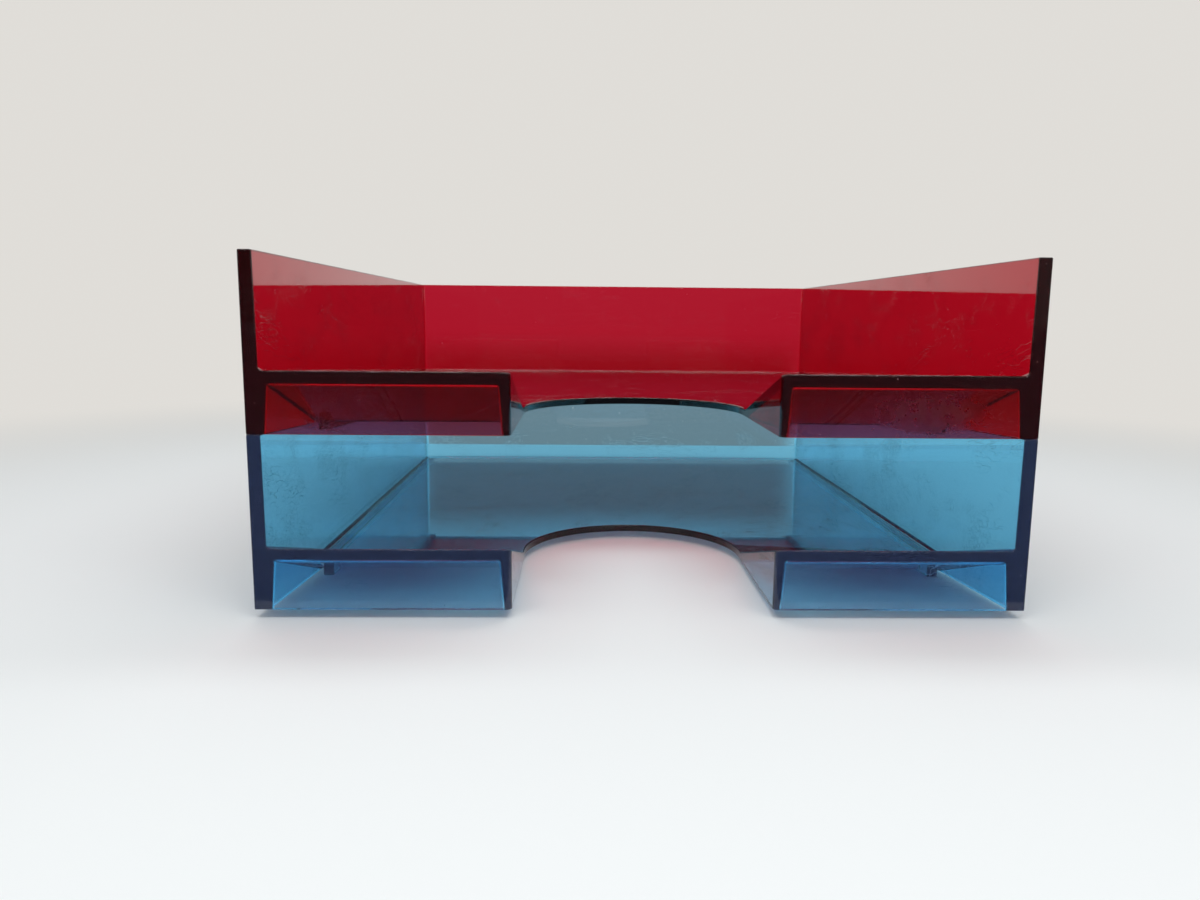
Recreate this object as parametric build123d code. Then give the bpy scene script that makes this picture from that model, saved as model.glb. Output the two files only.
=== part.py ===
"""Two identical clear letter trays, one standing on the other, in millimetres.

Each tray is an open-fronted moulding: a flat floor that sweeps up into a lip on both sides of a
thumb notch, two side walls, a back wall, and two runners under the floor. The lip is hollow from
below, behind a thin front apron, and the hollow is drafted so that the moulding leaves its tool.

The whole moulding is made first, with its drafts and radii. It is then parted along plain planes
into its walls, floor, lips, webs, aprons and runners, so that each has its own solid and its own
name, and neighbours meet face to face.

Frame: X to the right as seen from the front, front towards -Y, Z up. The origin is on the table,
under the middle of the stack. While one tray is being made, its front face is on Y = 0 and the
underside of its floor on Z = 0.
"""
import os
from math import atan2, cos, radians, tan

from build123d import *

# Overall size of one tray
TRAY_WIDTH = 254.0
TRAY_DEPTH = 305.0
TRAY_HEIGHT = 57.5          # from the underside of the floor to the rim

# Walls and floor
SIDE_WALL = 4.8             # thickness where the wall meets the floor
BACK_WALL = 4.8
WALL_DRAFT = 0.35           # degrees, on the inner faces only: the outer faces are plumb
FLOOR = 2.8
INSIDE_RADIUS = 1.2         # round the foot of the walls and up the inside back corners
OUTSIDE_CORNER = 1.2        # upright outside corners at the back
EDGE_RADIUS = 0.5           # the rim, the front ends and the lip: every edge that a hand meets

# Lip: the plate that sweeps up to the front on both sides of the notch
LIP_HEIGHT = 20.4           # top of the lip at the front face, above the underside
LIP_RUN = 62.5              # how far behind the front face the slope meets the floor
LIP_THICKNESS = 3.0
LIP_BEND = 8.0              # radius where the slope runs out into the floor

# Thumb notch: straight sides and a half-round end
NOTCH_WIDTH = 86.4
NOTCH_DEPTH = 109.2
NOTCH_MOUTH = 2.2           # radius of the upright corners at the mouth

# Hollow under each lip: what is left round it at its open bottom, and its drafts in degrees
APRON = 2.2
APRON_DRAFT = 5.2
WEB = 2.4
WEB_DRAFT = 4.8
HOLLOW_WALL = 5.2
HOLLOW_WALL_DRAFT = 3.4
HOLLOW_RADIUS = 1.0

# Runners: they carry the tray and keep it between the walls of the tray beneath
RUNNER_WIDTH = 4.0
RUNNER_HEIGHT = 3.2
RUNNER_PLAY = 0.9           # sideways room between a runner and the rim beneath
RUNNER_END_PLAY = 0.9       # room between a runner's back end and the back wall beneath
RUNNER_ROOT = 0.6           # height of the runner that stays with the floor when it is parted

REST_GAP = 0.1              # film of air between a rim and the tray that stands on it
SEAM_MARGIN = 1.0           # how far past a radius or a rib the moulding is parted
REACH = 4.0                 # how far a cutting shape reaches past what it cuts
TOUCH = 0.01                # two places nearer than this are the same place

# Worked out from the sizes above
HALF_WIDTH = TRAY_WIDTH / 2
HALF_NOTCH = NOTCH_WIDTH / 2
LIP_SLOPE = (LIP_HEIGHT - FLOOR) / LIP_RUN
LIP_DROP = LIP_THICKNESS / cos(atan2(LIP_HEIGHT - FLOOR, LIP_RUN))
HOLLOW_END = (LIP_HEIGHT - LIP_DROP) / LIP_SLOPE
RIM_SIDE_WALL = SIDE_WALL - (TRAY_HEIGHT - FLOOR) * tan(radians(WALL_DRAFT))
RUNNER_OUTER = HALF_WIDTH - RIM_SIDE_WALL - RUNNER_PLAY
RUNNER_INNER = RUNNER_OUTER - RUNNER_WIDTH
RUNNER_END = TRAY_DEPTH - BACK_WALL - RUNNER_END_PLAY

# Planes that part the moulding; none of them lies in a face of it
SIDE_SEAM = RUNNER_INNER - SEAM_MARGIN
WEB_SEAM = HALF_NOTCH + WEB + LIP_HEIGHT * tan(radians(WEB_DRAFT)) + HOLLOW_RADIUS + SEAM_MARGIN
APRON_SEAM = APRON + LIP_HEIGHT * tan(radians(APRON_DRAFT)) + HOLLOW_RADIUS + SEAM_MARGIN
LIP_SEAM = LIP_RUN + LIP_BEND * LIP_SLOPE + SEAM_MARGIN
BACK_SEAM = TRAY_DEPTH - BACK_WALL - INSIDE_RADIUS - SEAM_MARGIN

# Where each tray's underside is above the table
LOWER_TRAY = RUNNER_HEIGHT
UPPER_TRAY = LOWER_TRAY + TRAY_HEIGHT + REST_GAP


def block(x_range, y_range, z_range):
    """A box between two X, two Y and two Z values."""
    size = [high - low for low, high in (x_range, y_range, z_range)]
    middle = [(high + low) / 2 for low, high in (x_range, y_range, z_range)]
    return Pos(*middle) * Box(*size)


def side_profile(points, half_width):
    """A prism whose outline lies in the YZ plane and whose length runs from -X to +X."""
    outline = Plane.YZ * make_face(Polyline(*points, close=True))
    return extrude(outline, half_width, both=True)


def faces_towards(solid, direction):
    """The flat faces of a solid whose outward normal points along a direction."""
    return solid.faces().filter_by(lambda face: face.normal_at().dot(Vector(direction)) > 0.99)


def upright(edge):
    """True for an edge that runs mostly up and down."""
    return abs(edge.tangent_at(0.5).Z) > 0.9


def at_foot_of_wall(edge):
    """True for an edge of the paper space that runs along the foot of a wall."""
    centre = edge.center()
    surface = max(FLOOR, LIP_HEIGHT - LIP_SLOPE * centre.Y)
    on_surface = abs(centre.Z - surface) < LIP_BEND * LIP_SLOPE
    beside_wall = abs(centre.X) > HALF_WIDTH - SIDE_WALL - INSIDE_RADIUS
    before_back = centre.Y > TRAY_DEPTH - BACK_WALL - INSIDE_RADIUS
    return on_surface and (beside_wall or before_back) and centre.Y > -REACH / 2


def paper_space():
    """What the tool's core fills: the open room over the floor and the sloping lip.

    Its sides and back lean outwards by the wall draft, and its inside edges are rounded.
    """
    top = TRAY_HEIGHT + REACH
    front = -REACH
    back = TRAY_DEPTH - BACK_WALL
    lip_line_at_front = LIP_HEIGHT - LIP_SLOPE * front
    outline = [(front, lip_line_at_front), (LIP_RUN, FLOOR), (back, FLOOR), (back, top), (front, top)]
    room = side_profile(outline, HALF_WIDTH - SIDE_WALL)
    leaning = ShapeList()
    for direction in ((-1, 0, 0), (1, 0, 0), (0, 1, 0)):
        leaning += faces_towards(room, direction)
    room = draft(leaning, Plane.XY.offset(FLOOR), -WALL_DRAFT)
    bend = room.edges().filter_by(Axis.X).sort_by_distance((0, LIP_RUN, FLOOR))[0]
    room = fillet(bend, LIP_BEND)
    back_corners = room.edges().filter_by(upright).filter_by(lambda edge: edge.center().Y > back - 1)
    foot = room.edges().filter_by(at_foot_of_wall)
    return fillet(back_corners + foot, INSIDE_RADIUS)


def notch():
    """The thumb notch: a slot with parallel sides and a half-round end, cut from the front."""
    round_centre = NOTCH_DEPTH - HALF_NOTCH
    low = -REACH
    high = LIP_HEIGHT + REACH
    slot = block((-HALF_NOTCH, HALF_NOTCH), (-REACH, round_centre), (low, high))
    return slot + Pos(0, round_centre, low) * extrude(Circle(HALF_NOTCH), high - low)


def hollow():
    """The hollow under the right-hand lip, open at the bottom and closing in upwards."""
    web_face = HALF_NOTCH + WEB
    wall_face = HALF_WIDTH - HOLLOW_WALL
    far_end = HOLLOW_END + REACH / LIP_SLOPE
    well = block((web_face, wall_face), (APRON, far_end), (-REACH, LIP_HEIGHT))
    drafts = {(-1, 0, 0): WEB_DRAFT, (1, 0, 0): HOLLOW_WALL_DRAFT, (0, -1, 0): APRON_DRAFT}
    for direction, angle in drafts.items():
        well = draft(faces_towards(well, direction), Plane.XY, angle)
    well = well & side_profile([(0, -REACH), (far_end, -REACH), (0, LIP_HEIGHT - LIP_DROP)], HALF_WIDTH)
    roof = well.faces().sort_by(lambda face: face.normal_at().Z)[-1]
    roof_edges = roof.edges().filter_by(lambda edge: edge.center().Z > -REACH / 2)
    return fillet(well.edges().filter_by(upright) + roof_edges, HOLLOW_RADIUS)


def runner():
    """The runner under the right-hand edge of the floor, rooted in the floor."""
    bar = block((RUNNER_INNER, RUNNER_OUTER), (HOLLOW_END, RUNNER_END), (-RUNNER_HEIGHT, FLOOR / 2))
    sole = bar.faces().sort_by(Axis.Z)[0]
    return fillet(sole.edges(), EDGE_RADIUS)


def edges_a_hand_meets(tray):
    """The rim, the front ends of the side walls, the lip and the mouth of the notch.

    The lip's front edge leads on round the whole notch. The edges underneath stay sharp, because
    the two halves of the mould meet there.
    """
    def handled(edge):
        centre = edge.center()
        on_rim = abs(centre.Z - TRAY_HEIGHT) < TOUCH
        on_front = abs(centre.Y) < TOUCH
        at_side = abs(abs(centre.X) - HALF_WIDTH) < TOUCH
        along_lip = abs(centre.Z - LIP_HEIGHT) < TOUCH
        return on_rim or (on_front and (at_side or along_lip))

    return tray.edges().filter_by(handled)


def moulding():
    """One whole tray as a single moulding."""
    tray = block((-HALF_WIDTH, HALF_WIDTH), (0, TRAY_DEPTH), (0, TRAY_HEIGHT))
    back_corners = tray.edges().filter_by(Axis.Z).group_by(Axis.Y)[-1]
    tray = fillet(back_corners, OUTSIDE_CORNER)
    tray = tray - paper_space() - notch()
    mouth = tray.edges().filter_by(upright).filter_by(
        lambda edge: edge.center().Y < TOUCH and abs(edge.center().X) < HALF_NOTCH + TOUCH
    )
    tray = fillet(mouth, NOTCH_MOUTH)
    right_hollow = hollow()
    tray = tray - right_hollow - mirror(right_hollow, Plane.YZ)
    tray = fillet(edges_a_hand_meets(tray), EDGE_RADIUS)
    right_runner = runner()
    return tray + right_runner + mirror(right_runner, Plane.YZ)


def regions():
    """The box of space that holds each named part of one tray.

    The boxes fill the tray's whole space between them and never share any of it.
    """
    far = TRAY_WIDTH + TRAY_DEPTH
    above = (-RUNNER_ROOT, far)
    below = (-far, -RUNNER_ROOT)
    middle = (-SIDE_SEAM, SIDE_SEAM)
    boxes = {
        "floor": (middle, (LIP_SEAM, BACK_SEAM), above),
        "back_wall": (middle, (BACK_SEAM, far), above),
    }
    for side, sign in (("left", -1), ("right", 1)):
        def span(near, out, sign=sign):
            return tuple(sorted((sign * near, sign * out)))

        lip = (APRON_SEAM, LIP_SEAM)
        boxes[f"{side}_side_wall"] = (span(SIDE_SEAM, far), (-far, far), above)
        boxes[f"{side}_runner"] = (span(SIDE_SEAM, far), (-far, far), below)
        boxes[f"{side}_lip_ramp"] = (span(WEB_SEAM, SIDE_SEAM), lip, above)
        boxes[f"{side}_notch_web"] = (span(0, WEB_SEAM), lip, above)
        boxes[f"{side}_front_apron"] = (span(0, SIDE_SEAM), (-far, APRON_SEAM), above)
    return boxes


def main():
    """Part one moulding into its named solids and write them for both trays."""
    os.makedirs("parts", exist_ok=True)
    tray = moulding()
    pieces = {name: tray & block(*box) for name, box in regions().items()}
    parted = sum(piece.volume for piece in pieces.values())
    print(f"moulding {tray.volume:.1f} mm3, its {len(pieces)} parts {parted:.1f} mm3")
    for tray_name, height in (("lower", LOWER_TRAY), ("upper", UPPER_TRAY)):
        place = Pos(0, -TRAY_DEPTH / 2, height)
        for name, piece in pieces.items():
            export_step(place * piece, f"parts/{tray_name}_{name}.step")


main()
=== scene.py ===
"""Dresses the letter tray stack: two clear mouldings, their wear, a plain studio and the camera.

Each real tray is one moulding, so the sections of a tray in the frame are welded into one closed
piece here, and light can cross it as it crosses the real plastic. Everything is in metres.
"""
import logging
import math
from dataclasses import dataclass, field
from enum import Enum

import bmesh
import bpy
from mathutils import Matrix, Vector


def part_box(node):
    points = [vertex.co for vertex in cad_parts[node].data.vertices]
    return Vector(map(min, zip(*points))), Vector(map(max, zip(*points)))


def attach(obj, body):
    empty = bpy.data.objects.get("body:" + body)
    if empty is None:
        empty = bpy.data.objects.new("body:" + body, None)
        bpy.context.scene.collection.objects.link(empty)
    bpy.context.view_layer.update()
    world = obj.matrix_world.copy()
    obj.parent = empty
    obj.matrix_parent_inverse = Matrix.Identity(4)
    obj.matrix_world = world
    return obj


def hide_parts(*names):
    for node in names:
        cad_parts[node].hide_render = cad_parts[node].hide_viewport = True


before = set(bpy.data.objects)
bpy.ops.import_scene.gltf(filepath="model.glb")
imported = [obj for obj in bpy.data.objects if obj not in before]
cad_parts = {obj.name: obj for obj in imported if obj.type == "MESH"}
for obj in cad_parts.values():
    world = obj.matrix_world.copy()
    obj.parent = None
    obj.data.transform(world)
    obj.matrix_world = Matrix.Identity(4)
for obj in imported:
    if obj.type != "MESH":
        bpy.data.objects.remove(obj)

LOG = logging.getLogger("letter_tray_stack")
MILLIMETRE = 0.001


class Level(Enum):
    """The two trays of the stack, by the word that their nodes and body start with."""

    LOWER = "lower"
    UPPER = "upper"


class Across(Enum):
    """The axis that a plane lies across, as the place of its coordinate in a point."""

    X = 0
    Y = 1
    Z = 2


@dataclass(frozen=True)
class SeamPlane:
    """A plane on which the sections of a tray meet.

    Args:
        across: the axis that the plane lies across.
        place: where it is on that axis.
    """

    across: Across
    place: float

    def holds(self, face: bmesh.types.BMFace, tolerance: float) -> bool:
        """Tell whether a face lies in the plane.

        Args:
            face: the face.
            tolerance: how far a corner may stand off the plane.

        Returns:
            True if every corner of the face is in the plane.
        """
        return all(abs(vert.co[self.across.value] - self.place) < tolerance for vert in face.verts)


class Shade:
    """A shader socket that can be used in arithmetic.

    Args:
        graph: the graph that the socket belongs to.
        socket: the output that gives the value.
    """

    def __init__(self, graph: "ShaderGraph", socket: bpy.types.NodeSocket) -> None:
        self.graph = graph
        self.socket = socket

    def _math(self, operation: str, first: object, second: object) -> "Shade":
        """Add one Math node that works on two values."""
        return self.graph.add("ShaderNodeMath", {"operation": operation}, {0: first, 1: second})

    def __add__(self, other: object) -> "Shade":
        return self._math("ADD", self, other)

    def __radd__(self, other: object) -> "Shade":
        return self._math("ADD", other, self)

    def __sub__(self, other: object) -> "Shade":
        return self._math("SUBTRACT", self, other)

    def __rsub__(self, other: object) -> "Shade":
        return self._math("SUBTRACT", other, self)

    def __mul__(self, other: object) -> "Shade":
        return self._math("MULTIPLY", self, other)

    def __rmul__(self, other: object) -> "Shade":
        return self._math("MULTIPLY", other, self)

    def __abs__(self) -> "Shade":
        return self._math("ABSOLUTE", self, 0.0)

    def largest(self, other: object) -> "Shade":
        """Compare with another value.

        Args:
            other: a value or a plain number.

        Returns:
            The larger of the two.
        """
        return self._math("MAXIMUM", self, other)

    def rises(self, low: float, high: float) -> "Shade":
        """Turn the value into a smooth step.

        Args:
            low: where the step is 0.
            high: where it is 1, which may be under low.

        Returns:
            The step.
        """
        settings = {"interpolation_type": "SMOOTHSTEP", "clamp": True}
        sockets = {"Value": self, 1: low, 2: high}
        if low > high:
            sockets = {"Value": self, 1: high, 2: low, 3: 1.0, 4: 0.0}
        return self.graph.add("ShaderNodeMapRange", settings, sockets)


class ShaderGraph:
    """Builds the node tree of one material or world.

    Args:
        owner: the material or world that holds the tree.
    """

    def __init__(self, owner: bpy.types.ID) -> None:
        owner.use_nodes = True
        self.tree = owner.node_tree
        self.tree.nodes.clear()

    def add(
        self, kind: str, settings: dict | None = None, sockets: dict | None = None, output: int | str = 0
    ) -> Shade:
        """Add a node.

        Args:
            kind: the node's type.
            settings: its own settings, which are made first.
            sockets: the values or links of its inputs, by name or number.
            output: the output that is handed back.

        Returns:
            The chosen output, which is empty on the tree's own output node.
        """
        node = self.tree.nodes.new(kind)
        for name, value in (settings or {}).items():
            setattr(node, name, value)
        for name, value in (sockets or {}).items():
            if isinstance(value, Shade):
                self.tree.links.new(value.socket, node.inputs[name])
            else:
                node.inputs[name].default_value = value
        return Shade(self, node.outputs[output] if node.outputs else None)

    def place(self) -> Shade:
        """Read the point of the surface.

        Returns:
            The point, in the object's own metres.
        """
        return self.add("ShaderNodeTexCoord", output="Object")

    def part(self, point: Shade, axis: str) -> Shade:
        """Take one coordinate out of a point or direction.

        Args:
            point: the point or direction.
            axis: X, Y or Z.

        Returns:
            The coordinate.
        """
        return self.add("ShaderNodeSeparateXYZ", {}, {"Vector": point}, axis)

    def length(self, vector: Shade) -> Shade:
        """Measure a vector.

        Args:
            vector: the vector.

        Returns:
            Its length.
        """
        return self.add("ShaderNodeVectorMath", {"operation": "LENGTH"}, {0: vector}, "Value")

    def noise(self, place: Shade, scale: float, detail: float = 2.0, roughness: float = 0.5) -> Shade:
        """Make a cloudy value between 0 and 1.

        Args:
            place: the point that it is read at.
            scale: how many clouds there are to the metre.
            detail: how many finer layers lie over the first.
            roughness: how strong the finer layers are.

        Returns:
            The value.
        """
        sockets = {"Vector": place, "Scale": scale, "Detail": detail, "Roughness": roughness}
        return self.add("ShaderNodeTexNoise", {"noise_dimensions": "3D"}, sockets)

    def blend(self, share: Shade, first: tuple, second: tuple) -> Shade:
        """Mix two colours.

        Args:
            share: the share of the second.
            first: the colour where the share is 0.
            second: the colour where it is 1.

        Returns:
            The mixed colour.
        """
        settings = {"data_type": "RGBA"}
        return self.add("ShaderNodeMix", settings, {0: share, 6: (*first, 1.0), 7: (*second, 1.0)}, 2)

    def turned(self, place: Shade, angles: tuple, stretch: tuple) -> Shade:
        """Turn a point and stretch it along its new axes.

        Args:
            place: the point.
            angles: the angles about X, Y and Z, in degrees.
            stretch: the factors along the new X, Y and Z.

        Returns:
            The new point.
        """
        rotation = tuple(math.radians(angle) for angle in angles)
        sockets = {"Vector": place, "Rotation": rotation}
        turned = self.add("ShaderNodeMapping", {"vector_type": "TEXTURE"}, sockets)
        return self.add("ShaderNodeMapping", {"vector_type": "POINT"}, {"Vector": turned, "Scale": stretch})


@dataclass(frozen=True)
class Patch:
    """A place on a tray that is more marked than the rest.

    Args:
        middle: its middle.
        reach: how far it goes out from there along X, Y and Z.
        full: the share of the reach within which it is marked in full.
    """

    middle: tuple
    reach: tuple
    full: float = 0.7

    def mask(self, graph: ShaderGraph, place: Shade) -> Shade:
        """Build the patch.

        Args:
            graph: the graph to build in.
            place: the point that it is read at.

        Returns:
            A mask that is 1 in the middle of the patch and 0 outside it.
        """
        away = graph.add("ShaderNodeVectorMath", {"operation": "SUBTRACT"}, {0: place, 1: self.middle})
        scaled = graph.add("ShaderNodeVectorMath", {"operation": "DIVIDE"}, {0: away, 1: self.reach})
        return graph.length(scaled).rises(1.0, self.full)


@dataclass(frozen=True)
class Blotches:
    """Marks with the outlines of clouds.

    Args:
        scale: how many clouds there are to the metre.
        detail: how many finer layers lie over the first.
        roughness: how strong the finer layers are.
        low: the height of cloud at which a mark starts.
        high: the height at which it is full.
    """

    scale: float
    detail: float
    roughness: float
    low: float
    high: float

    def mask(self, graph: ShaderGraph, place: Shade) -> Shade:
        """Build the marks.

        Args:
            graph: the graph to build in.
            place: the point that they are read at.

        Returns:
            A mask that is 1 on a mark.
        """
        return graph.noise(place, self.scale, self.detail, self.roughness).rises(self.low, self.high)


@dataclass(frozen=True)
class Specks:
    """Tiny round specks of dust.

    Args:
        spacing: how far apart they are.
        size: how large the largest is, as a share of the spacing.
        drifts: how many dusty places there are to one spacing.
        dusty: how the dust grows there, from no speck to the largest.
        soft: the share of the largest speck over which an edge fades.
    """

    spacing: float = 4.0 * MILLIMETRE
    size: float = 0.07
    drifts: float = 0.7
    dusty: tuple = (0.45, 0.75)
    soft: float = 0.25

    def mask(self, graph: ShaderGraph, place: Shade) -> Shade:
        """Build the specks.

        Args:
            graph: the graph to build in.
            place: the point that they are read at.

        Returns:
            A mask that is 1 on a speck.
        """
        sockets = {"Vector": place, "Scale": 1.0 / self.spacing}
        cells = graph.add("ShaderNodeTexVoronoi", {"feature": "F1"}, sockets, "Distance")
        sizes = graph.noise(place, self.drifts / self.spacing, 1.0).rises(*self.dusty) * self.size
        return (sizes - cells).rises(0.0, self.soft * self.size)


@dataclass(frozen=True)
class Hairlines:
    """Long thin scratches in a few directions, broken into lengths.

    Args:
        directions: how each direction is turned about X, Y and Z, in degrees.
        waver: how often to the metre a scratch wavers, along it and across it.
        width: half its width, as a share of what it wavers by.
        lengths: how often to the metre it breaks off, along it and across it.
        finer: how much more often it breaks off in each further direction.
        kept: how it comes back after a break, from nothing to its full width.
    """

    directions: tuple = ((8.0, 5.0, 12.0), (-6.0, 10.0, 74.0), (4.0, -8.0, 131.0))
    waver: tuple = (7.0, 420.0, 420.0)
    width: float = 0.011
    lengths: tuple = (14.0, 40.0, 40.0)
    finer: float = 0.3
    kept: tuple = (0.56, 0.66)

    def mask(self, graph: ShaderGraph, place: Shade) -> Shade:
        """Build the scratches.

        Args:
            graph: the graph to build in.
            place: the point that they are read at.

        Returns:
            A mask that is 1 in a scratch.
        """
        mask = None
        for number, angles in enumerate(self.directions):
            waver = graph.noise(graph.turned(place, angles, self.waver), 1.0, 1.0)
            line = abs(waver - 0.5).rises(self.width, 0.0)
            breaks = graph.noise(graph.turned(place, angles, self.lengths), 1.0 + self.finer * number)
            line = line * breaks.rises(*self.kept)
            mask = line if mask is None else mask.largest(line)
        return mask


@dataclass(frozen=True)
class SatinEdge:
    """The satin front edges of a moulding, which scatter back a little light.

    Args:
        colour: the colour of that light.
        front: where the edges are along Y.
        share: the share of the light that they scatter.
        depth: how far the satin reaches back from them.
        faded: how far back it has faded out.
        roughness: the roughness of the satin.
        specular: how much of a plain reflection it has.
    """

    colour: tuple
    front: float
    share: float = 0.07
    depth: float = 1.0 * MILLIMETRE
    faded: float = 1.5 * MILLIMETRE
    roughness: float = 0.5
    specular: float = 0.2

    def over(self, graph: ShaderGraph, surface: Shade, place: Shade, normal: Shade) -> Shade:
        """Lay the satin over a surface.

        Args:
            graph: the graph to build in.
            surface: the shader of the surface.
            place: the point that the satin is read at.
            normal: the surface's worn normal.

        Returns:
            The shader of both.
        """
        edge = (graph.part(place, "Y") - self.front).rises(self.faded, self.depth) * self.share
        sockets = {
            "Base Color": (*self.colour, 1.0),
            "Roughness": self.roughness,
            "Specular IOR Level": self.specular,
            "Normal": normal,
        }
        satin = graph.add("ShaderNodeBsdfPrincipled", {}, sockets)
        return graph.add("ShaderNodeMixShader", {}, {0: edge, 1: surface, 2: satin})


@dataclass(frozen=True)
class ClearPlastic:
    """Clear moulded plastic that takes its colour from its depth.

    Args:
        slot: the material slot of the record, which also names the finish.
        taken_per_mm: how much of red, green and blue one millimetre takes, as exponents.
        satin: its front edges.
        residue: where something has dried on the plastic.
        chafed: where the front edges of the lips are chafed by paper and hands.
        seed: moves the marks, so that no two mouldings wear alike.
        refraction: the index of refraction.
        polish: the roughness of an untouched face.
        handled: the roughness that smudges add.
        scratched: the roughness that hairlines and chafing add.
        dusty: the roughness that dust adds.
        dried: the roughness that residue adds.
        relief: how deep the hairlines are cut, and how high the dust lies.
        relief_strength: how much of that shows.
        smudges: what fingers and paper leave all over.
        flecks: what chafing is made of.
        blotches: what residue is made of.
    """

    slot: str
    taken_per_mm: tuple
    satin: SatinEdge
    residue: tuple
    chafed: tuple
    seed: float = 0.0
    refraction: float = 1.5
    polish: float = 0.004
    handled: float = 0.05
    scratched: float = 0.25
    dusty: float = 0.6
    dried: float = 0.35
    relief: float = 0.04 * MILLIMETRE
    relief_strength: float = 0.6
    smudges: Blotches = Blotches(26.0, 4.0, 0.6, 0.52, 0.74)
    flecks: Blotches = Blotches(1400.0, 2.0, 0.5, 0.55, 0.62)
    blotches: Blotches = Blotches(260.0, 4.0, 0.6, 0.40, 0.50)

    def within(self, graph: ShaderGraph, place: Shade, patches: tuple) -> Shade:
        """Build one mask of some patches.

        Args:
            graph: the graph to build in.
            place: the point that it is read at.
            patches: the patches, of which there is at least one.

        Returns:
            A mask that is 1 in the middle of each patch.
        """
        mask = 0.0
        for patch in patches:
            mask = patch.mask(graph, place) + mask
        return mask

    def surface(self, graph: ShaderGraph) -> Shade:
        """Build the worn faces.

        Args:
            graph: the graph to build in.

        Returns:
            Their shader.
        """
        own_place = graph.place()
        shift = {"Vector": own_place, "Location": (self.seed, 2.0 * self.seed, 3.0 * self.seed)}
        place = graph.add("ShaderNodeMapping", {"vector_type": "POINT"}, shift)
        scratches = Hairlines().mask(graph, place)
        smudges = self.smudges.mask(graph, place)
        dust = Specks().mask(graph, place)
        chafing = self.flecks.mask(graph, place) * self.within(graph, own_place, self.chafed)
        residue = self.blotches.mask(graph, place) * self.within(graph, own_place, self.residue)
        roughness = self.polish + self.handled * smudges + self.scratched * scratches.largest(chafing)
        relief = {
            "Height": dust - scratches - chafing,
            "Distance": self.relief,
            "Strength": self.relief_strength,
        }
        normal = graph.add("ShaderNodeBump", {}, relief)
        sockets = {
            "Base Color": (1.0, 1.0, 1.0, 1.0),
            "Roughness": roughness + self.dusty * dust + self.dried * residue,
            "IOR": self.refraction,
            "Transmission Weight": 1.0,
            "Normal": normal,
        }
        clear = graph.add("ShaderNodeBsdfPrincipled", {}, sockets)
        return self.satin.over(graph, clear, own_place, normal)

    def inside(self, graph: ShaderGraph) -> Shade:
        """Build the colour that light takes on inside.

        Args:
            graph: the graph to build in.

        Returns:
            The shader of an even absorption.
        """
        most = max(self.taken_per_mm)
        colour = tuple(1.0 - taken / most for taken in self.taken_per_mm)
        sockets = {"Color": (*colour, 1.0), "Density": most / MILLIMETRE}
        return graph.add("ShaderNodeVolumeAbsorption", {}, sockets)

    def material(self) -> bpy.types.Material:
        """Build the finish.

        Returns:
            The material, with an even absorption inside and worn faces.
        """
        made = bpy.data.materials.new(self.slot)
        graph = ShaderGraph(made)
        sockets = {"Surface": self.surface(graph), "Volume": self.inside(graph)}
        graph.add("ShaderNodeOutputMaterial", {}, sockets)
        return made


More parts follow.
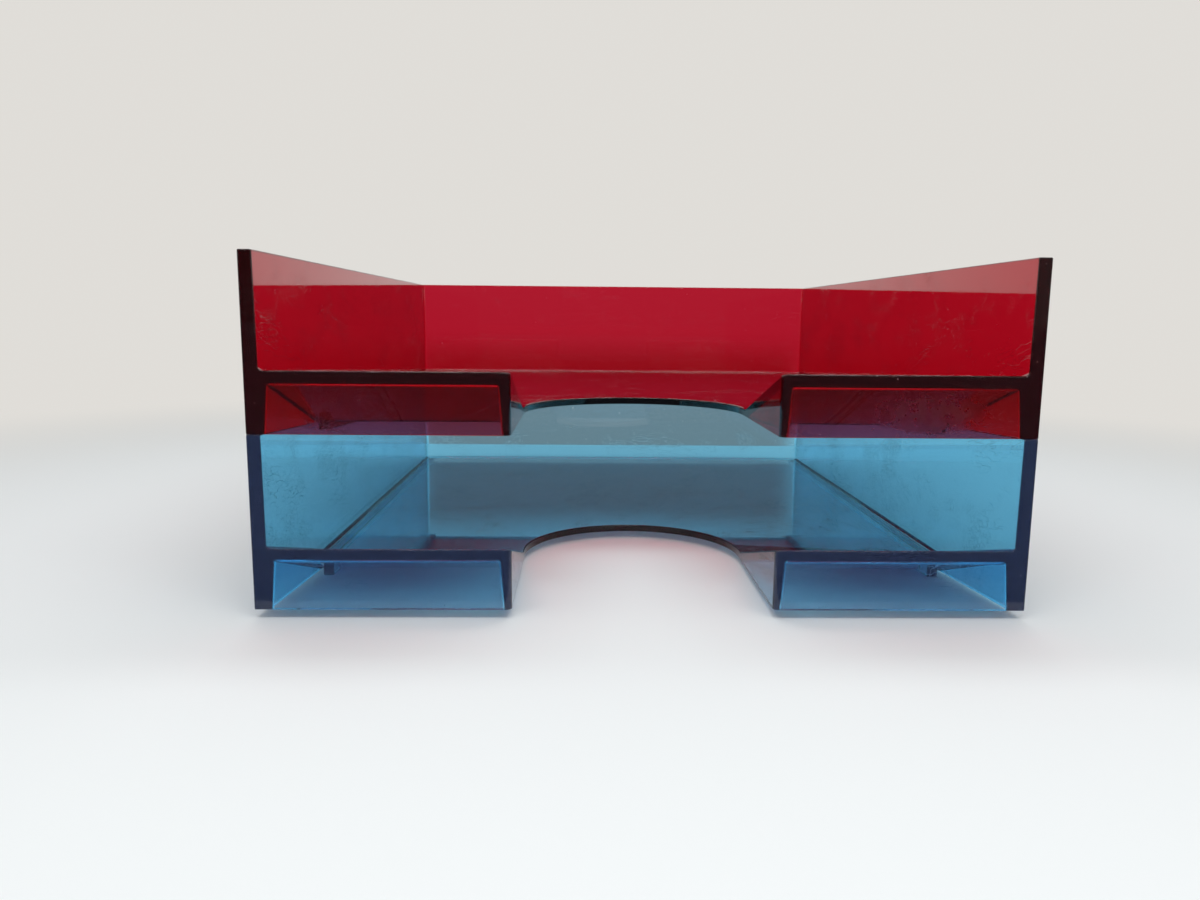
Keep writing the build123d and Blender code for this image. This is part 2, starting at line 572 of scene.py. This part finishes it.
@dataclass
class TrayMoulding:
    """One letter tray as the single moulding that it really is.

    Args:
        level: which tray of the stack it is.
        plastic: what it is moulded in.
        weld: how near two corners are when they are one corner.
        stitch: how far a corner may stand off an edge that it splits.
        flat: the angle in degrees under which neighbouring faces are one flat face.
        crease: the angle in degrees over which an edge stays sharp.
        flat_weight: how far large faces outweigh small ones in the shading.
    """

    level: Level
    plastic: ClearPlastic
    weld: float = 0.003 * MILLIMETRE
    stitch: float = 0.015 * MILLIMETRE
    flat: float = 0.02
    crease: float = 32.0
    flat_weight: int = 100
    sections: list = field(init=False)

    def __post_init__(self) -> None:
        """Find the tray's sections in the frame."""
        self.sections = sorted(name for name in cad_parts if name.startswith(self.level.value))

    def corner(self, section: str) -> tuple:
        """Measure one of the tray's sections.

        Args:
            section: its name without the tray's word.

        Returns:
            Its lowest and highest corner.
        """
        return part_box(f"{self.level.value}_{section}")

    def seams(self) -> list:
        """Read the planes on which the tray's sections meet from the sections themselves.

        Returns:
            The planes.
        """
        floor_low, floor_high = self.corner("floor")
        web_end = self.corner("right_notch_web")[1].x
        return [
            SeamPlane(Across.X, floor_low.x),
            SeamPlane(Across.X, floor_high.x),
            SeamPlane(Across.X, -web_end),
            SeamPlane(Across.X, web_end),
            SeamPlane(Across.Y, self.corner("right_front_apron")[1].y),
            SeamPlane(Across.Y, floor_low.y),
            SeamPlane(Across.Y, floor_high.y),
            SeamPlane(Across.Z, self.corner("right_runner")[1].z),
        ]

    def gather(self) -> bmesh.types.BMesh:
        """Copy the sections into one mesh and take away the faces where they meet.

        Returns:
            The mesh, open along the seams.
        """
        mesh = bmesh.new()
        for name in self.sections:
            mesh.from_mesh(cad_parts[name].data)
        bmesh.ops.remove_doubles(mesh, verts=mesh.verts, dist=self.weld)
        seams = self.seams()
        inner = [face for face in mesh.faces if any(seam.holds(face, self.weld) for seam in seams)]
        bmesh.ops.delete(mesh, geom=inner, context="FACES")
        bmesh.ops.delete(mesh, geom=[edge for edge in mesh.edges if not edge.link_faces], context="EDGES")
        bmesh.ops.delete(mesh, geom=[vert for vert in mesh.verts if not vert.link_edges], context="VERTS")
        return mesh

    def split_where_met(
        self, edge: bmesh.types.BMEdge, vert: bmesh.types.BMVert
    ) -> bmesh.types.BMEdge | None:
        """Split an open edge at a corner of the neighbouring section that lies on it.

        Args:
            edge: the open edge.
            vert: the corner that may lie on it.

        Returns:
            The new second half of the edge, or None if the corner lies elsewhere.
        """
        start, end = (corner.co for corner in edge.verts)
        run = end - start
        if vert in edge.verts or run.length < self.weld:
            return None
        share = (vert.co - start).dot(run) / run.length_squared
        nearest = start + run * share
        inside = self.weld < share * run.length < run.length - self.weld
        if not inside or (nearest - vert.co).length > self.stitch:
            return None
        second_half, joint = bmesh.utils.edge_split(edge, edge.verts[0], share)
        joint.co = vert.co
        return second_half

    def close_seams(self, mesh: bmesh.types.BMesh) -> None:
        """Join the sections across their seams, always in the same order.

        Args:
            mesh: the gathered sections.
        """
        open_edges = [edge for edge in mesh.edges if edge.is_boundary]
        for vert in dict.fromkeys(vert for edge in open_edges for vert in edge.verts):
            for edge in list(open_edges):
                second_half = self.split_where_met(edge, vert)
                if second_half is not None:
                    open_edges.append(second_half)
        seam_verts = list(dict.fromkeys(vert for edge in open_edges for vert in edge.verts))
        bmesh.ops.remove_doubles(mesh, verts=seam_verts, dist=self.weld)

    def smooth(self, mesh: bmesh.types.BMesh) -> None:
        """Merge what is flat, and shade the rest smoothly between its sharp edges.

        Args:
            mesh: the closed moulding.
        """
        bmesh.ops.dissolve_limit(
            mesh,
            angle_limit=math.radians(self.flat),
            verts=mesh.verts,
            edges=mesh.edges,
            use_dissolve_boundaries=False,
        )
        for face in mesh.faces:
            face.smooth = True
        for edge in mesh.edges:
            edge.smooth = edge.calc_face_angle(0.0) < math.radians(self.crease)

    def build(self) -> bpy.types.Object:
        """Make the moulding and let it stand for its sections.

        Returns:
            The piece, riding on its tray's body.
        """
        mesh = self.gather()
        self.close_seams(mesh)
        self.smooth(mesh)
        still_open = sum(not edge.is_manifold for edge in mesh.edges)
        volume = mesh.calc_volume() / MILLIMETRE**3
        data = bpy.data.meshes.new(f"{self.level.value}_tray_moulding")
        mesh.to_mesh(data)
        mesh.free()
        piece = bpy.data.objects.new(data.name, data)
        bpy.context.scene.collection.objects.link(piece)
        shading = piece.modifiers.new("flat_faces_stay_flat", "WEIGHTED_NORMAL")
        shading.keep_sharp = True
        shading.weight = self.flat_weight
        data.materials.append(self.plastic.material())
        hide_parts(*self.sections)
        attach(piece, f"{self.level.value}_tray")
        LOG.info("%s: %d faces, %.0f mm3, %d open edges", piece.name, len(data.polygons), volume, still_open)
        return piece


@dataclass(frozen=True)
class Studio:
    """A plain pale floor in a light box: white at the back and sides, open and dark in front.

    Args:
        reach: half the floor's width.
        sunk: how far the floor lies under the runners, so that the two don't share a plane.
        floor_colour: the floor's own colour.
        grain: how many bumps of its grain there are to the metre.
        grain_detail: how many finer layers lie over them.
        grain_depth: how deep they are.
        grain_strength: how much of that shows.
        air_colour: the colour of the light from all round.
        background: the pale colour of the air and of the far floor, to the camera alone.
        fade: how far from the middle the floor starts and ends to fade into it.
        side_level: how bright the air is near the horizon.
        top_level: how bright it is overhead.
        overhead: the upward share of a direction where the one goes over into the other.
        front_level: how bright it is in front, where the box is open.
        opening: the backward share of a direction where that opening starts, and where it is dark.
        back_wall: how far behind the middle the box's back wall stands.
        wall_height: how high that wall is.
        wall_colour: how brightly the cloth of that wall glows.
        painted_red_light: the painted red light that the wall glows with where light through the red tray
            would fall.
        red_edge: the half width and the height at which that stops.
        red_blur: how far it takes to fade out.
        mouth: how far in front of the middle the dark room starts to show in reflections.
        dark_colour: the colour of that room.
        dark_roughness: its roughness.
        lamp_rows: how far behind the middle each of the ceiling's lamps hangs, and its power in watts.
        lamp_height: how high they hang.
        lamp_size: how wide and how deep each is.
    """

    reach: float = 6.0
    sunk: float = 0.05 * MILLIMETRE
    floor_colour: tuple = (0.86, 0.90, 0.92)
    grain: float = 900.0
    grain_detail: float = 3.0
    grain_depth: float = 0.05 * MILLIMETRE
    grain_strength: float = 0.5
    air_colour: tuple = (1.0, 0.985, 0.96)
    background: tuple = (0.745, 0.725, 0.69)
    fade: tuple = (0.30, 0.75)
    side_level: float = 0.92
    top_level: float = 0.5
    overhead: tuple = (0.35, 0.75)
    front_level: float = 0.05
    opening: tuple = (-0.78, -0.93)
    back_wall: float = 0.251
    wall_height: float = 1.2
    wall_colour: tuple = (0.88, 0.85, 0.82)
    painted_red_light: tuple = (0.62, 0.38, 0.34)
    red_edge: tuple = (0.13, 0.06)
    red_blur: float = 0.03
    mouth: float = 0.168
    dark_colour: tuple = (0.08, 0.08, 0.12)
    dark_roughness: float = 0.9
    lamp_rows: tuple = ((0.05, 0.8), (-0.42, 1.1))
    lamp_height: float = 0.46
    lamp_size: tuple = (0.6, 0.12)

    def matt(self, name: str) -> bpy.types.Material:
        """Make a matt finish with a faint grain, which fades into the background far from the part.

        Args:
            name: its name.

        Returns:
            The finish.
        """
        material = bpy.data.materials.new(name)
        graph = ShaderGraph(material)
        place = graph.place()
        grain = {
            "Height": graph.noise(place, self.grain, self.grain_detail),
            "Distance": self.grain_depth,
            "Strength": self.grain_strength,
        }
        sockets = {
            "Base Color": (*self.floor_colour, 1.0),
            "Roughness": 1.0,
            "Specular IOR Level": 0.0,
            "Normal": graph.add("ShaderNodeBump", {}, grain),
        }
        surface = graph.add("ShaderNodeBsdfPrincipled", {}, sockets)
        camera = graph.add("ShaderNodeLightPath", output="Is Camera Ray")
        pale = graph.add("ShaderNodeEmission", {}, {"Color": (*self.background, 1.0), "Strength": 1.0})
        faded = graph.length(place).rises(*self.fade) * camera
        mixed = graph.add("ShaderNodeMixShader", {}, {0: faded, 1: surface, 2: pale})
        graph.add("ShaderNodeOutputMaterial", {}, {"Surface": mixed})
        return material

    def glowing(self, name: str) -> bpy.types.Material:
        """Make the glowing cloth at the back of the box, with painted red light on it behind the trays.

        Args:
            name: its name.

        Returns:
            The finish.
        """
        material = bpy.data.materials.new(name)
        graph = ShaderGraph(material)
        place = graph.place()
        half_width, top = self.red_edge
        # painted light: behind the trays the wall glows red, as light through the red tray would make it
        beside = abs(graph.part(place, "X")).rises(half_width + self.red_blur, half_width)
        below = graph.part(place, "Z").rises(top + self.red_blur, top)
        colour = graph.blend(beside * below, self.wall_colour, self.painted_red_light)
        surface = graph.add("ShaderNodeEmission", {}, {"Color": colour, "Strength": 1.0})
        graph.add("ShaderNodeOutputMaterial", {}, {"Surface": surface})
        return material

    def dark(self, name: str) -> bpy.types.Material:
        """Make the unlit room in front of the box.

        Args:
            name: its name.

        Returns:
            The finish.
        """
        material = bpy.data.materials.new(name)
        graph = ShaderGraph(material)
        sockets = {"Base Color": (*self.dark_colour, 1.0), "Roughness": self.dark_roughness}
        surface = graph.add("ShaderNodeBsdfPrincipled", {}, sockets)
        graph.add("ShaderNodeOutputMaterial", {}, {"Surface": surface})
        return material

    def sheet(
        self, name: str, half_size: float, place: Matrix, finish: bpy.types.Material
    ) -> bpy.types.Object:
        """Make a flat square sheet that is part of the stage.

        Args:
            name: its name.
            half_size: half the length of its sides.
            place: where it lies, from flat on the table's middle.
            finish: its finish.

        Returns:
            The sheet.
        """
        mesh = bmesh.new()
        bmesh.ops.create_grid(mesh, x_segments=1, y_segments=1, size=half_size)
        bmesh.ops.transform(mesh, matrix=place, verts=mesh.verts)
        data = bpy.data.meshes.new(name)
        mesh.to_mesh(data)
        mesh.free()
        sheet = bpy.data.objects.new(name, data)
        bpy.context.scene.collection.objects.link(sheet)
        data.materials.append(finish)
        return sheet

    def box(self) -> None:
        """Lay the floor, and stand the back wall and the dark room round it.

        Reflections meet both, and what shows through the trays meets the back wall too. Neither of
        them lights or shades the floor.
        """
        matt = self.matt("matt_white")
        self.sheet("studio_floor", self.reach, Matrix.Translation((0.0, 0.0, -self.sunk)), matt)
        upright = Matrix.Rotation(math.radians(90.0), 4, "X")
        half = self.wall_height / 2
        at_back = Matrix.Translation((0.0, self.back_wall, half)) @ upright
        wall = self.sheet("studio_back", half, at_back, self.glowing("lit_cloth"))
        in_front = Matrix.Translation((0.0, -self.mouth - self.reach, MILLIMETRE))
        front = self.sheet("dark_room", self.reach, in_front, self.dark("dark_room"))
        for sheet in (wall, front):
            sheet.visible_camera = False
            sheet.visible_diffuse = False
            sheet.visible_shadow = False
        front.visible_transmission = False

    def air(self) -> None:
        """Fill the air with even light that is dark in front and plain to the camera."""
        world = bpy.data.worlds.new("box_light")
        bpy.context.scene.world = world
        graph = ShaderGraph(world)
        direction = graph.add("ShaderNodeTexCoord", output="Generated")
        overhead = graph.part(direction, "Z").rises(*self.overhead)
        level = self.side_level + (self.top_level - self.side_level) * overhead
        in_front = graph.part(direction, "Y").rises(*self.opening)
        level = level + in_front * (self.front_level - level)
        light = graph.add("ShaderNodeBackground", {}, {"Color": (*self.air_colour, 1.0), "Strength": level})
        camera = graph.add("ShaderNodeLightPath", output="Is Camera Ray")
        pale = graph.add("ShaderNodeBackground", {}, {"Color": (*self.background, 1.0), "Strength": 1.0})
        mixed = graph.add("ShaderNodeMixShader", {}, {0: camera, 1: light, 2: pale})
        graph.add("ShaderNodeOutputWorld", {}, {"Surface": mixed})

    def lamp(self, number: int, behind: float, power: float) -> None:
        """Hang one wide lamp in the ceiling.

        Args:
            number: its number.
            behind: how far behind the middle it hangs.
            power: its power in watts.
        """
        lamp = bpy.data.lights.new(f"ceiling_lamp_{number}", "AREA")
        lamp.shape = "RECTANGLE"
        lamp.size, lamp.size_y = self.lamp_size
        lamp.energy = power
        holder = bpy.data.objects.new(lamp.name, lamp)
        holder.location = (0.0, behind, self.lamp_height)
        bpy.context.scene.collection.objects.link(holder)

    def build(self) -> None:
        """Set up the box, its air and its lamps."""
        self.box()
        self.air()
        for number, (behind, power) in enumerate(self.lamp_rows):
            self.lamp(number, behind, power)
        LOG.info("studio: floor and light are in place")


@dataclass(frozen=True)
class PhotoCamera:
    """The camera as solved from the photograph.

    Args:
        place: where the lens is.
        pitch: how far it looks down, in degrees.
        yaw: how far it is turned to the right, in degrees.
        roll: how far it is tipped, in degrees.
        focal_px: the focal length in pixels of the photograph.
        width_px: the width of the photograph in pixels.
        sensor: the width of the sensor in millimetres.
    """

    place: tuple = (-0.02081, -0.43224, 0.09826)
    pitch: float = 8.501
    yaw: float = 1.257
    roll: float = 0.520
    focal_px: float = 883.93
    width_px: float = 1200.0
    sensor: float = 36.0

    def build(self) -> bpy.types.Object:
        """Make the camera and give it to the scene.

        Returns:
            The camera.
        """
        pitch, yaw, roll = (math.radians(angle) for angle in (self.pitch, self.yaw, self.roll))
        ahead = Vector((math.sin(yaw) * math.cos(pitch), math.cos(yaw) * math.cos(pitch), -math.sin(pitch)))
        level_right = Vector((math.cos(yaw), -math.sin(yaw), 0.0))
        level_up = level_right.cross(ahead)
        right = math.cos(roll) * level_right + math.sin(roll) * level_up
        up = math.cos(roll) * level_up - math.sin(roll) * level_right
        lens = bpy.data.cameras.new("photo_camera")
        lens.sensor_width = self.sensor
        lens.lens = self.focal_px / self.width_px * self.sensor
        camera = bpy.data.objects.new(lens.name, lens)
        bpy.context.scene.collection.objects.link(camera)
        turn = Matrix((right, up, -ahead)).transposed()
        camera.matrix_world = Matrix.Translation(self.place) @ turn.to_4x4()
        bpy.context.scene.camera = camera
        return camera


def lip_edges(level: Level) -> tuple:
    """Find the top front edges of a tray's two lips.

    Args:
        level: which tray.

    Returns:
        One patch for each lip.
    """
    patches = []
    for side in ("left", "right"):
        low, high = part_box(f"{level.value}_{side}_front_apron")
        middle = ((low.x + high.x) / 2, low.y, high.z)
        patches.append(Patch(middle, (high.x - low.x, MILLIMETRE, MILLIMETRE)))
    return tuple(patches)


def main() -> None:
    """Build the camera, the studio and the two trays."""
    logging.basicConfig(level=logging.INFO, format="%(name)s %(message)s")
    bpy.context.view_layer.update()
    bpy.context.scene.view_settings.view_transform = "Standard"
    PhotoCamera().build()
    Studio().build()
    beside_lower_runner = Patch(middle=(0.098, -0.098, 0.0045), reach=(0.016, 0.02, 0.005))
    on_upper_apron = Patch(middle=(0.092, -0.149, 0.069), reach=(0.023, 0.006, 0.0085))
    blue = ClearPlastic(
        "blue_clear_plastic",
        taken_per_mm=(0.32, 0.098, 0.032),
        satin=SatinEdge((0.24, 0.39, 0.97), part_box("lower_left_side_wall")[0].y),
        residue=(beside_lower_runner,),
        chafed=lip_edges(Level.LOWER),
    )
    red = ClearPlastic(
        "red_clear_plastic",
        taken_per_mm=(0.155, 1.0, 0.76),
        satin=SatinEdge((0.25, 0.005, 0.015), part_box("upper_left_side_wall")[0].y),
        residue=(on_upper_apron,),
        chafed=lip_edges(Level.UPPER),
        seed=0.37,
    )
    TrayMoulding(Level.LOWER, blue).build()
    TrayMoulding(Level.UPPER, red).build()


if __name__ == "__main__":
    main()
